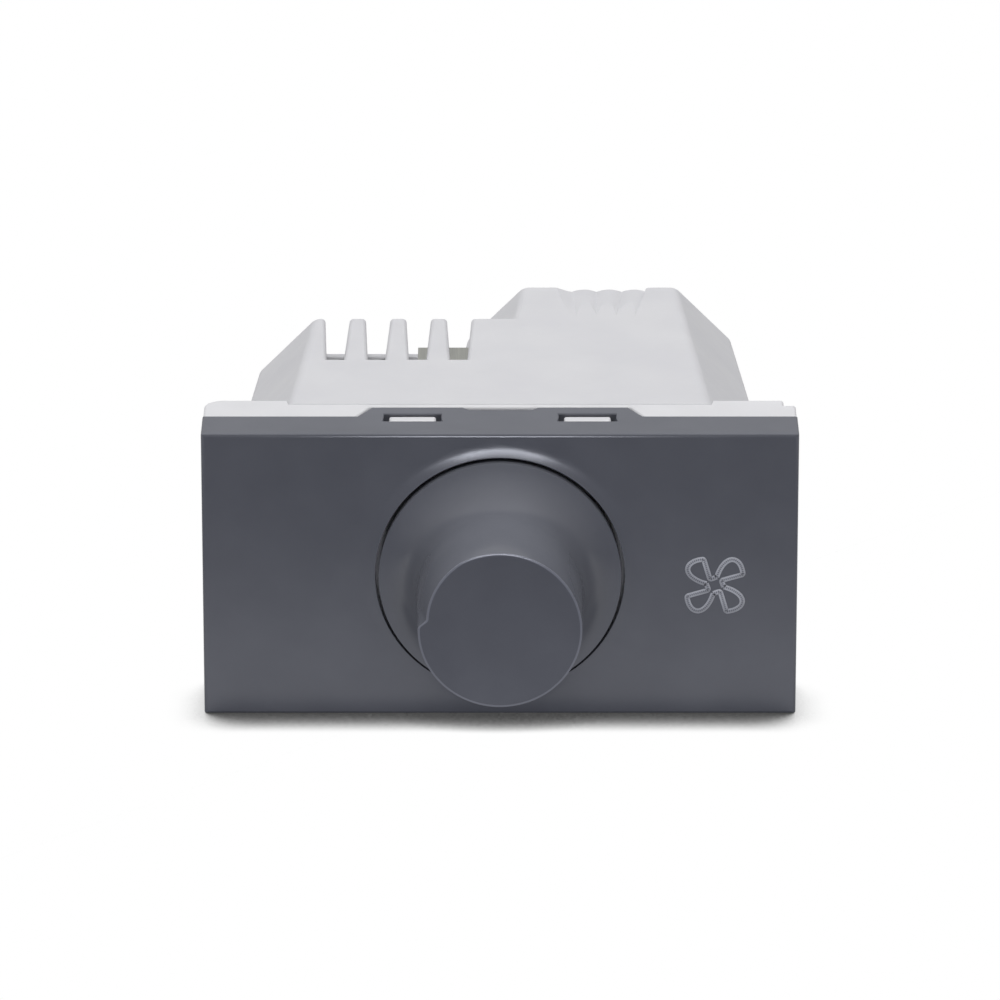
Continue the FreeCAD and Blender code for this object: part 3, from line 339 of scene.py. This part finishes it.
def enamelled_copper():
    """Copper wire under clear amber enamel: warm and glossy."""
    finish = Finish("enamelled_copper_wire", Metallic=1.0)
    cloud = finish.noise(0.8, detail=3)
    finish.tones(cloud, "#9c5a30", "#b8713f")
    finish.gloss(cloud, 0.22, 0.36)
    return finish.material


def capacitor_case():
    """Flame retardant capacitor case: mustard yellow, moulded, slightly dusty."""
    finish = Finish("moulded_capacitor_case", IOR=1.5)
    cloud = finish.noise(2.0, detail=4)
    finish.tones(cloud, "#b9973b", "#c9a84a")
    finish.gloss(cloud, 0.42, 0.58)
    return finish.material


def component_lacquer():
    """Dipped lacquer on small board parts: beige, glossy and a little uneven."""
    finish = Finish("dipped_lacquer", Roughness=0.3, IOR=1.5)
    cloud = finish.noise(0.7, detail=3)
    finish.tones(cloud, "#b89b73", "#cbb08a")
    finish.relief(cloud, 0.02)
    return finish.material


def fused_glass():
    """The glass body of a diode: orange red under a clear skin."""
    finish = Finish("fused_glass_case", Roughness=0.15, IOR=1.5)
    finish.tones(finish.noise(0.5, detail=3), "#8c4a2c", "#a85f3b")
    return finish.material


def dress(piece, material):
    """A piece takes one material all over."""
    piece.data.materials.clear()
    piece.data.materials.append(material)


def new_piece(name, mesh, body, slot, *nodes):
    """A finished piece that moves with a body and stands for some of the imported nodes."""
    piece = bpy.data.objects.new(name, mesh)
    bpy.context.scene.collection.objects.link(piece)
    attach(piece, body)
    if nodes:
        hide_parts(*nodes)
    return piece


def smooth(mesh, crease):
    """A mesh is shaded smooth, apart from edges that turn by more than the crease angle in degrees."""
    mesh.polygons.foreach_set("use_smooth", [True] * len(mesh.polygons))
    mesh.set_sharp_from_angle(angle=math.radians(crease))


def room(edge, face):
    """How far a face reaches from the middle of one of its edges, square to that edge."""
    corner = next(loop for loop in face.loops if loop.edge == edge)
    first, second = corner.vert.co, corner.link_loop_next.vert.co
    middle = (first + second) / 2
    along = (second - first).normalized()
    inward = face.normal.cross(along)
    reach = math.inf
    for other in face.edges:
        start, end = (vert.co - middle for vert in other.verts)
        low, high = start.dot(along), end.dot(along)
        if other != edge and low * high < 0:
            share = low / (low - high)
            depth = (start + (end - start) * share).dot(inward)
            if depth > 0:
                reach = min(reach, depth)
    return reach


def outer_edges(shell, neighbours, rounding):
    """The sharp outward edges of a shell that have room for a rounding and nothing in the way.

    Short edges that link two of them take the rounding too.
    """
    sharp_angle = math.radians(SHARP_EDGE)
    own = BVHTree.FromBMesh(shell)
    others = []
    for neighbour in neighbours:
        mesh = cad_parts[neighbour].data
        corners = [vertex.co for vertex in mesh.vertices]
        others.append(BVHTree.FromPolygons(corners, [polygon.vertices for polygon in mesh.polygons]))
    sharp = [edge for edge in shell.edges if edge.is_convex and edge.calc_face_angle() > sharp_angle]
    found = []
    for edge in sharp:
        reach = min(room(edge, face) for face in edge.link_faces) / MM
        if reach > ROUNDING_ROOM * rounding:
            middle = (edge.verts[0].co + edge.verts[1].co) / 2
            outward = (edge.link_faces[0].normal + edge.link_faces[1].normal).normalized()
            free = own.ray_cast(middle + outward * CLEAR_OF_SURFACE * MM, outward)[0] is None
            if free and all(other.find_nearest(middle, SHELL_GAP * MM)[0] is None for other in others):
                found.append(edge)
    ends = {vert for edge in found for vert in edge.verts}
    links = [edge for edge in sharp if ends.issuperset(edge.verts) and edge.calc_length() < rounding * MM]
    return set(found + links)


def rounded_shell(name, node, neighbours, rounding, slot, material):
    """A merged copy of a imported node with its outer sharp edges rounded."""
    shell = bmesh.new()
    shell.from_mesh(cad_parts[node].data)
    bmesh.ops.remove_doubles(shell, verts=shell.verts, dist=SAME_POINT * MM)
    bmesh.ops.dissolve_limit(shell, angle_limit=math.radians(SAME_PLANE),
                             verts=shell.verts, edges=shell.edges)
    weight = shell.edges.layers.float.new("bevel_weight_edge")
    for edge in outer_edges(shell, neighbours, rounding):
        edge[weight] = 1.0
    mesh = bpy.data.meshes.new(name)
    shell.to_mesh(mesh)
    shell.free()
    smooth(mesh, SHADING_CREASE)
    piece = new_piece(name, mesh, "insert", slot, node)
    bevel = piece.modifiers.new("edge_rounding", "BEVEL")
    bevel.width = rounding * MM
    bevel.segments = ROUNDING_SEGMENTS
    bevel.limit_method = "WEIGHT"
    bevel.use_clamp_overlap = False
    weights = piece.modifiers.new("flat_faces", "WEIGHTED_NORMAL")
    weights.keep_sharp = True
    dress(piece, material)


def arc(centre, radius, start, end, count):
    """Points along an arc in the knob's profile, from one angle to another, in degrees."""
    angles = [math.radians(start + (end - start) * i / count) for i in range(count + 1)]
    return [(centre[0] + radius * math.cos(a), centre[1] + radius * math.sin(a)) for a in angles]


def knob_profile():
    """The knob's outline from the middle of its dished end, over the flare, to the inside of its bore.

    Each point is a radius, a depth along Y and how far the pointer notch moves it inward, from 0 to 1. The
    range of points along the rim comes with them.
    """
    low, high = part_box("control_knob")
    end, back = low.y / MM, high.y / MM
    skirt = high.x / MM
    flare_back = FACE - KNOB_LEAD
    flare_centre = KNOB_NECK_RADIUS + KNOB_FLARE
    flare_turn = math.degrees(math.acos((flare_centre - skirt) / KNOB_FLARE))
    flare_start = flare_back - KNOB_FLARE * math.sin(math.radians(flare_turn))
    crest = KNOB_END_RADIUS - KNOB_RIM_ROUNDING - KNOB_RIM_LAND
    rim_drop = KNOB_RIM_LAND * math.tan(math.radians(KNOB_RIM_TILT))
    points = [(DISH_FLAT_RADIUS / 2, end + DISH_DEPTH, 0.0)]
    for step in range(DISH_STEPS + 1):
        share = step / DISH_STEPS
        points.append((DISH_FLAT_RADIUS + (crest - DISH_FLAT_RADIUS) * share,
                       end + DISH_DEPTH * (1 - share ** DISH_EASE),
                       max(0.0, 1 - (1 - share) / NOTCH_SHARE_OF_DISH)))
    side_slope = (KNOB_NECK_RADIUS - KNOB_END_RADIUS) / (flare_start - end)
    rim = arc((KNOB_END_RADIUS - KNOB_RIM_ROUNDING, end + rim_drop + KNOB_RIM_ROUNDING), KNOB_RIM_ROUNDING,
              KNOB_RIM_TILT - 90, 0, ROUNDING_STEPS)
    rim_points = range(len(points) - 1, len(points) - 1 + len(rim))
    points += [(radius, depth, 1 - (depth - end) / NOTCH_DEPTH) for radius, depth in rim]
    points.append((KNOB_END_RADIUS + side_slope * NOTCH_DEPTH, end + NOTCH_DEPTH, 0.0))
    flare = arc((flare_centre, flare_start), KNOB_FLARE, 180, 180 - flare_turn, FLARE_STEPS)
    flare += arc((skirt - KNOB_SKIRT_ROUNDING, flare_back + KNOB_SKIRT_ROUNDING), KNOB_SKIRT_ROUNDING,
                 KNOB_SKIRT_LEAN, 0, ROUNDING_STEPS)
    inner_flare = KNOB_FLARE + KNOB_WALL
    inner_turn = math.degrees(math.asin((back - flare_start) / inner_flare))
    inside = arc((flare_centre, flare_start), inner_flare, 180 - inner_turn, 180, INSIDE_STEPS)
    inside += [(KNOB_NECK_RADIUS - KNOB_WALL, end + KNOB_CAP), (HUB_RADIUS, end + KNOB_CAP),
               (HUB_RADIUS, HUB_BACK)]
    points += [(radius, depth, 0.0) for radius, depth in flare + [(skirt, back)] + inside]
    return points, rim_points


def notch_cut(angle):
    """How deep the ramped pointer notch is at an angle round the knob; it ends in a short rounded step."""
    ramp = min(max((angle - NOTCH_START) / (NOTCH_END - NOTCH_START), 0), 1)
    step = min(max((NOTCH_END - angle) / NOTCH_STEP + 0.5, 0), 1)
    return NOTCH_INSET * ramp * step * step * (3 - 2 * step)


def bore_radius(angle):
    """The bore that grips the shaft, flattened on its upper side."""
    rise = math.sin(math.radians(angle))
    return SHAFT_FLAT / rise if rise * SHAFT_RADIUS > SHAFT_FLAT else SHAFT_RADIUS


def make_knob(material, rim_material):
    """The knob turned about its axis, with the pointer notch, a paler rim that is a painted highlight, and
    the flat of the bore.
    """
    angles = [360 * i / KNOB_SEGMENTS for i in range(KNOB_SEGMENTS)]
    shell = bmesh.new()

    def ring(radius_at, depth):
        """One closed ring of points round the axis, whose radius depends on the angle."""
        return [shell.verts.new(Vector((radius_at(a) * math.cos(math.radians(a)), depth,
                                        radius_at(a) * math.sin(math.radians(a)))) * MM) for a in angles]

    points, rim_points = knob_profile()
    rings = [ring(lambda a, p=point: p[0] - p[2] * notch_cut(a), point[1]) for point in points]
    rings.append(ring(bore_radius, HUB_BACK))
    rings.append(ring(bore_radius, SHAFT_TIP))
    for count, (inner, outer) in enumerate(zip(rings, rings[1:])):
        for i in range(len(angles)):
            j = (i + 1) % len(angles)
            face = shell.faces.new((inner[i], inner[j], outer[j], outer[i]))
            # Faces along the rim take the second material, a paler graphite that is a painted highlight.
            face.material_index = int(count in rim_points)
    shell.faces.new(reversed(rings[0]))
    shell.faces.new(rings[-1])
    bmesh.ops.recalc_face_normals(shell, faces=shell.faces)
    mesh = bpy.data.meshes.new("knob_shell")
    shell.to_mesh(mesh)
    shell.free()
    smooth(mesh, KNOB_CREASE)
    piece = new_piece("knob_shell", mesh, "knob", "graphite_abs", "control_knob")
    piece.data.materials.append(material)
    piece.data.materials.append(rim_material)


def new_tree(name, sizes):
    """A geometry tree with one named number input for each size, its given sockets and its result sockets."""
    tree = bpy.data.node_groups.new(name, "GeometryNodeTree")
    tree.interface.new_socket("Geometry", in_out="INPUT", socket_type="NodeSocketGeometry")
    for label in sizes:
        tree.interface.new_socket(label, in_out="INPUT", socket_type="NodeSocketFloat")
    tree.interface.new_socket("Geometry", in_out="OUTPUT", socket_type="NodeSocketGeometry")
    return tree, tree.nodes.new("NodeGroupInput").outputs, tree.nodes.new("NodeGroupOutput").inputs


def grown_mesh(name, mesh, tree, sizes):
    """The plain mesh that a geometry tree makes of a mesh, with its inputs set to these sizes."""
    seed = bpy.data.objects.new(name + "_seed", mesh)
    bpy.context.scene.collection.objects.link(seed)
    modifier = seed.modifiers.new(tree.name, "NODES")
    modifier.node_group = tree
    for item in tree.interface.items_tree:
        if item.in_out == "INPUT" and item.name in sizes:
            modifier[item.identifier] = float(sizes[item.name])
    seed.update_tag()
    graph = bpy.context.evaluated_depsgraph_get()
    grown = bpy.data.meshes.new_from_object(seed.evaluated_get(graph))
    grown.name = name
    seed.modifiers.clear()
    bpy.data.objects.remove(seed)
    return grown


def blade_outline():
    """One fan blade as an open line, from the heel of the blade before it to its own heel."""
    start, end = Vector(BLADE_TIP), Vector(BLADE_HEEL)
    first, second = Vector(LOBE_PULLS[0]), Vector(LOBE_PULLS[1])
    heel_before = Vector((BLADE_HEEL[1], -BLADE_HEEL[0]))
    points = [heel_before, Vector(BLADE_ROOT)]
    for step in range(LOBE_STEPS + 1):
        t = step / LOBE_STEPS
        left = 1 - t
        points.append(start * left ** 3 + first * 3 * t * left ** 2
                      + second * 3 * t * t * left + end * t ** 3)
    links = [(i, i + 1) for i in range(len(points) - 1)]
    mesh = bpy.data.meshes.new("blade_outline")
    mesh.from_pydata([point.to_3d() * MM for point in points], links, [])
    return mesh


def make_fan_symbol(material):
    """One blade's stroke repeated round the hub, a hair proud of the face.

    The stroke keeps how far along and across it each point lies, for the pattern of the mark.
    """
    tree, given, result = new_tree("fan_symbol", ["Stroke", "Rise", "Corner", "Blades"])
    line = add(tree, "GeometryNodeMeshToCurve", {"Mesh": given["Geometry"]})
    soft = add(tree, "GeometryNodeFilletCurve",
               {"Curve": line.outputs["Curve"], "Radius": given["Corner"], "Count": SYMBOL_CORNER_STEPS,
                "Limit Radius": True}, mode="POLY")
    length = add(tree, "GeometryNodeSplineParameter", {}).outputs["Length"]
    path = add(tree, "GeometryNodeStoreNamedAttribute",
               {"Geometry": soft.outputs["Curve"], "Name": "along", "Value": length}, data_type="FLOAT")
    section = add(tree, "GeometryNodeCurvePrimitiveQuadrilateral",
                  {"Width": given["Stroke"], "Height": given["Rise"]})
    corner = add(tree, "ShaderNodeSeparateXYZ",
                 {"Vector": add(tree, "GeometryNodeInputPosition", {}).outputs["Position"]})
    half = add(tree, "ShaderNodeMath", {"Value": given["Stroke"], "Value_001": 2.0}, operation="DIVIDE")
    side = add(tree, "ShaderNodeMath", {"Value": corner.outputs["X"], "Value_001": half.outputs["Value"]},
               operation="DIVIDE")
    band = add(tree, "GeometryNodeStoreNamedAttribute",
               {"Geometry": section.outputs["Curve"], "Name": "across", "Value": side.outputs["Value"]},
               data_type="FLOAT")
    stroke = add(tree, "GeometryNodeCurveToMesh",
                 {"Curve": path.outputs["Geometry"], "Profile Curve": band.outputs["Geometry"],
                  "Fill Caps": True})
    hubs = add(tree, "GeometryNodePoints", {"Count": given["Blades"]})
    index = add(tree, "GeometryNodeInputIndex", {})
    step = add(tree, "ShaderNodeMath", {"Value": math.tau, "Value_001": given["Blades"]}, operation="DIVIDE")
    turn = add(tree, "ShaderNodeMath", {"Value": index.outputs["Index"], "Value_001": step.outputs["Value"]},
               operation="MULTIPLY")
    angle = add(tree, "ShaderNodeCombineXYZ", {"Z": turn.outputs["Value"]})
    blades = add(tree, "GeometryNodeInstanceOnPoints",
                 {"Points": hubs.outputs["Points"], "Instance": stroke.outputs["Mesh"],
                  "Rotation": angle.outputs["Vector"]})
    plain = add(tree, "GeometryNodeRealizeInstances", {"Geometry": blades.outputs["Instances"]})
    marked = add(tree, "GeometryNodeSetMaterial",
                 {"Geometry": plain.outputs["Geometry"], "Material": material})
    tree.links.new(marked.outputs["Geometry"], result["Geometry"])
    mesh = grown_mesh("fan_symbol", blade_outline(), tree, {
        "Stroke": SYMBOL_STROKE * MM,
        "Rise": SYMBOL_RISE * 2 * MM,
        "Corner": SYMBOL_CORNER * MM,
        "Blades": BLADE_COUNT,
    })
    mesh.transform(Matrix.Translation(Vector((SYMBOL_CENTRE[0], FACE, SYMBOL_CENTRE[1])) * MM)
                   @ Matrix.Rotation(math.radians(90), 4, "X"))
    new_piece("fan_symbol", mesh, "insert", "graphite_abs")


def make_choke_turns(material):
    """The choke's wire: one rounded turn, repeated round most of the ring core."""
    low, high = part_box("choke_core")
    centre_x = (low.x + high.x) / 2
    outer = (high.z - low.z) / 2
    inner = outer - CORE_WIDTH * MM
    tree, given, result = new_tree("choke_turns", ["Width", "Height", "Middle", "Wire", "Turns", "Step"])
    turn = add(tree, "GeometryNodeCurvePrimitiveQuadrilateral",
               {"Width": given["Width"], "Height": given["Height"]})
    soft = add(tree, "GeometryNodeFilletCurve",
               {"Curve": turn.outputs["Curve"], "Radius": given["Wire"], "Count": WIRE_BEND_STEPS},
               mode="POLY")
    section = add(tree, "GeometryNodeCurvePrimitiveCircle",
                  {"Resolution": WIRE_SIDES, "Radius": given["Wire"]})
    wire = add(tree, "GeometryNodeCurveToMesh",
               {"Curve": soft.outputs["Curve"], "Profile Curve": section.outputs["Curve"]})
    shift = add(tree, "ShaderNodeCombineXYZ", {"X": given["Middle"]})
    placed = add(tree, "GeometryNodeTransform",
                 {"Geometry": wire.outputs["Mesh"], "Translation": shift.outputs["Vector"]})
    spots = add(tree, "GeometryNodePoints", {"Count": given["Turns"]})
    index = add(tree, "GeometryNodeInputIndex", {})
    angle = add(tree, "ShaderNodeMath", {"Value": index.outputs["Index"], "Value_001": given["Step"]},
                operation="MULTIPLY")
    around = add(tree, "ShaderNodeCombineXYZ", {"Y": angle.outputs["Value"]})
    turns = add(tree, "GeometryNodeInstanceOnPoints",
                {"Points": spots.outputs["Points"], "Instance": placed.outputs["Geometry"],
                 "Rotation": around.outputs["Vector"]})
    plain = add(tree, "GeometryNodeRealizeInstances", {"Geometry": turns.outputs["Instances"]})
    painted = add(tree, "GeometryNodeSetMaterial",
                  {"Geometry": plain.outputs["Geometry"], "Material": material})
    tree.links.new(painted.outputs["Geometry"], result["Geometry"])
    mesh = grown_mesh("choke_turns", bpy.data.meshes.new("choke_seed"), tree, {
        "Width": outer - inner + 2 * WIRE_RADIUS * MM,
        "Height": high.y - low.y + 2 * WIRE_RADIUS * MM,
        "Middle": (outer + inner) / 2,
        "Wire": WIRE_RADIUS * MM,
        "Turns": WINDING_TURNS,
        "Step": math.radians(WINDING_SWEEP) / WINDING_TURNS,
    })
    mesh.transform(Matrix.Translation((centre_x, (low.y + high.y) / 2, 0)))
    smooth(mesh, WIRE_CREASE)
    new_piece("choke_turns", mesh, "insert", "copper_wire", "choke_winding")


def seen_directly(rays, tree):
    """1 for what the camera sees, also through glass, and 0 for light that bounces."""
    return add(tree, "ShaderNodeMath",
               {"Value": rays["Is Camera Ray"], "Value_001": rays["Is Transmission Ray"]},
               operation="MAXIMUM").outputs["Value"]


def make_floor():
    """A plain pale floor that looks white and keeps the shadow where the object stands.

    The light that it gives back to the object fades toward the front.
    """
    material = bpy.data.materials.new("white_floor")
    material.use_nodes = True
    tree = material.node_tree
    tree.nodes.clear()
    place = add(tree, "ShaderNodeTexCoord", {}).outputs["Object"]
    ahead = add(tree, "ShaderNodeSeparateXYZ", {"Vector": place}).outputs["Y"]
    fade = add(tree, "ShaderNodeMapRange",
               {"Value": ahead, "From Min": FLOOR_FADE[0] * MM, "From Max": FLOOR_FADE[1] * MM,
                "To Min": FLOOR_NEAR, "To Max": FLOOR_FAR})
    tilt = math.radians(SHADOW_TILT)
    toward_object = add(tree, "ShaderNodeCombineXYZ", {"Y": math.cos(tilt), "Z": math.sin(tilt)})
    open_sky = add(tree, "ShaderNodeAmbientOcclusion",
                   {"Distance": SHADOW_REACH * MM, "Normal": toward_object.outputs["Vector"]},
                   samples=SHADOW_SAMPLES)
    opening = add(tree, "ShaderNodeMapRange",
                  {"Value": open_sky.outputs["AO"], "From Min": SHADOW_OPENS[0], "From Max": SHADOW_OPENS[1]},
                  interpolation_type="SMOOTHSTEP")
    shadow = add(tree, "ShaderNodeMath", {"Value": opening.outputs["Result"], "Value_001": SHADOW_DARKEST},
                 operation="MAXIMUM")
    rays = add(tree, "ShaderNodeLightPath", {}).outputs
    bounced = add(tree, "ShaderNodeMath",
                  {"Value": fade.outputs["Result"], "Value_001": shadow.outputs["Value"]},
                  operation="MULTIPLY")
    level = add(tree, "ShaderNodeMix", {"Factor": seen_directly(rays, tree), "A": bounced.outputs["Value"],
                                        "B": shadow.outputs["Value"]})
    glow = add(tree, "ShaderNodeEmission", {"Color": (1, 1, 1, 1), "Strength": level.outputs["Result"]})
    add(tree, "ShaderNodeOutputMaterial", {"Surface": glow.outputs["Emission"]})
    half = FLOOR_HALF * MM
    height = cad_box[0][2]
    corners = [(-half, -half, height), (half, -half, height), (half, half, height), (-half, half, height)]
    mesh = bpy.data.meshes.new("floor")
    mesh.from_pydata(corners, [], [(0, 1, 2, 3)])
    floor = bpy.data.objects.new("floor", mesh)
    bpy.context.scene.collection.objects.link(floor)
    dress(floor, material)


def make_world():
    """A white backdrop, mirrored as a dim room under a pale ceiling; weaker as light."""
    world = bpy.data.worlds.new("white_surround")
    bpy.context.scene.world = world
    world.use_nodes = True
    tree = world.node_tree
    tree.nodes.clear()
    direction = add(tree, "ShaderNodeTexCoord", {}).outputs["Generated"]
    height = add(tree, "ShaderNodeSeparateXYZ", {"Vector": direction}).outputs["Z"]
    mirrored = add(tree, "ShaderNodeMapRange",
                   {"Value": height, "From Min": CEILING_EDGES[0], "From Max": CEILING_EDGES[1],
                    "To Min": ROOM_LEVEL, "To Max": CEILING_LEVEL}, interpolation_type="SMOOTHSTEP")
    rays = add(tree, "ShaderNodeLightPath", {}).outputs
    bounced = add(tree, "ShaderNodeMix", {"Factor": rays["Is Glossy Ray"], "A": SURROUND_LEVEL,
                                          "B": mirrored.outputs["Result"]})
    level = add(tree, "ShaderNodeMix", {"Factor": seen_directly(rays, tree), "A": bounced.outputs["Result"],
                                        "B": 1.0})
    light = add(tree, "ShaderNodeBackground", {"Color": (1, 1, 1, 1), "Strength": level.outputs["Result"]})
    add(tree, "ShaderNodeOutputWorld", {"Surface": light.outputs["Background"]})


def make_overhead_light():
    """A very wide soft light above, slightly behind and to the left, which no surface mirrors."""
    lamp = bpy.data.lights.new("overhead_softbox", "SUN")
    lamp.energy = SOFTBOX_LEVEL
    lamp.angle = math.radians(SOFTBOX_ANGLE)
    light = bpy.data.objects.new("overhead_softbox", lamp)
    bpy.context.scene.collection.objects.link(light)
    light.rotation_euler = (math.radians(-SOFTBOX_FROM_BEHIND), math.radians(-SOFTBOX_FROM_LEFT), 0)
    light.visible_glossy = False


def make_front_panel():
    """A small, slightly cool panel in front, which the collar and the knob's rim mirror."""
    lamp = bpy.data.lights.new("front_panel", "AREA")
    lamp.shape = "RECTANGLE"
    lamp.size = PANEL_WIDTH * MM
    lamp.size_y = PANEL_HEIGHT * MM
    lamp.energy = PANEL_LEVEL * math.pi * lamp.size * lamp.size_y
    lamp.color = linear(PANEL_COLOUR)[:3]
    light = bpy.data.objects.new("front_panel", lamp)
    bpy.context.scene.collection.objects.link(light)
    light.location = (0, -PANEL_DISTANCE * MM, PANEL_RISE * MM)
    light.rotation_euler = (math.radians(90), 0, 0)
    light.visible_camera = False


def make_camera():
    """The photograph's view: from the front, a little above, through a long lens."""
    face_middle = Vector((0, FACE * MM, 0))
    slope = math.radians(CAMERA_ELEVATION)
    toward_camera = Vector((0, -math.cos(slope), math.sin(slope)))
    up = Vector((0, math.sin(slope), math.cos(slope)))
    data = bpy.data.cameras.new("photo_camera")
    data.lens = CAMERA_LENS
    data.sensor_width = CAMERA_SENSOR
    data.clip_start = CAMERA_NEAR * MM
    camera = bpy.data.objects.new("photo_camera", data)
    bpy.context.scene.collection.objects.link(camera)
    camera.location = face_middle + toward_camera * CAMERA_DISTANCE * MM
    aim = face_middle + up * CAMERA_AIM_ABOVE * MM
    camera.rotation_euler = (aim - camera.location).to_track_quat("-Z", "Y").to_euler()
    bpy.context.scene.camera = camera


bpy.context.scene.view_settings.view_transform = "Standard"

graphite = moulded_graphite("moulded_graphite_abs", "#65676f", "#6a6c74")
white_carrier = moulded_white("moulded_white_carrier", "#d7d7da", "#dcdcdf")
white_housing = moulded_white("moulded_white_housing", "#cfcfd3", "#d4d4d7")

rounded_shell("cover_shell", "front_cover", ["mounting_frame"], COVER_ROUNDING, "graphite_abs", graphite)
rounded_shell("carrier_shell", "mounting_frame", ["front_cover", "rear_housing"], CARRIER_ROUNDING,
              "white_pc", white_carrier)
rounded_shell("housing_shell", "rear_housing", [], HOUSING_ROUNDING, "white_pc", white_housing)
# The knob's rim takes a paler graphite: a painted highlight along the rim, not a colour of the plastic.
make_knob(graphite, moulded_graphite("graphite_abs_painted_rim_highlight", "#80828c", "#868892"))
make_fan_symbol(laser_mark())
make_choke_turns(enamelled_copper())

steel = plated_steel()
brass = turned_brass()
lacquer = component_lacquer()
carried_over = {
    "heat_sink": rolled_aluminium(), "potentiometer_can": steel, "potentiometer_bushing": brass,
    "bushing_nut": brass, "bushing_washer": steel, "potentiometer_shaft": steel,
    "wiper_disc": moulded_epoxy(), "resistance_wafer": phenolic_wafer(), "potentiometer_pins": brass,
    "circuit_board": board_laminate(), "board_screws": steel, "triac": moulded_epoxy(), "triac_screw": steel,
    "choke_core": pressed_ferrite(), "film_capacitor": capacitor_case(), "timing_capacitor": capacitor_case(),
    "resistors": lacquer, "diac": fused_glass(), "fuse": lacquer,
    "terminal_cage_line": brass, "terminal_screw_line": steel,
    "terminal_cage_load": brass, "terminal_screw_load": steel,
}
for node_name, node_finish in carried_over.items():
    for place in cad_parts[node_name].material_slots:
        place.material = node_finish

make_floor()
make_world()
make_overhead_light()
make_front_panel()
make_camera()
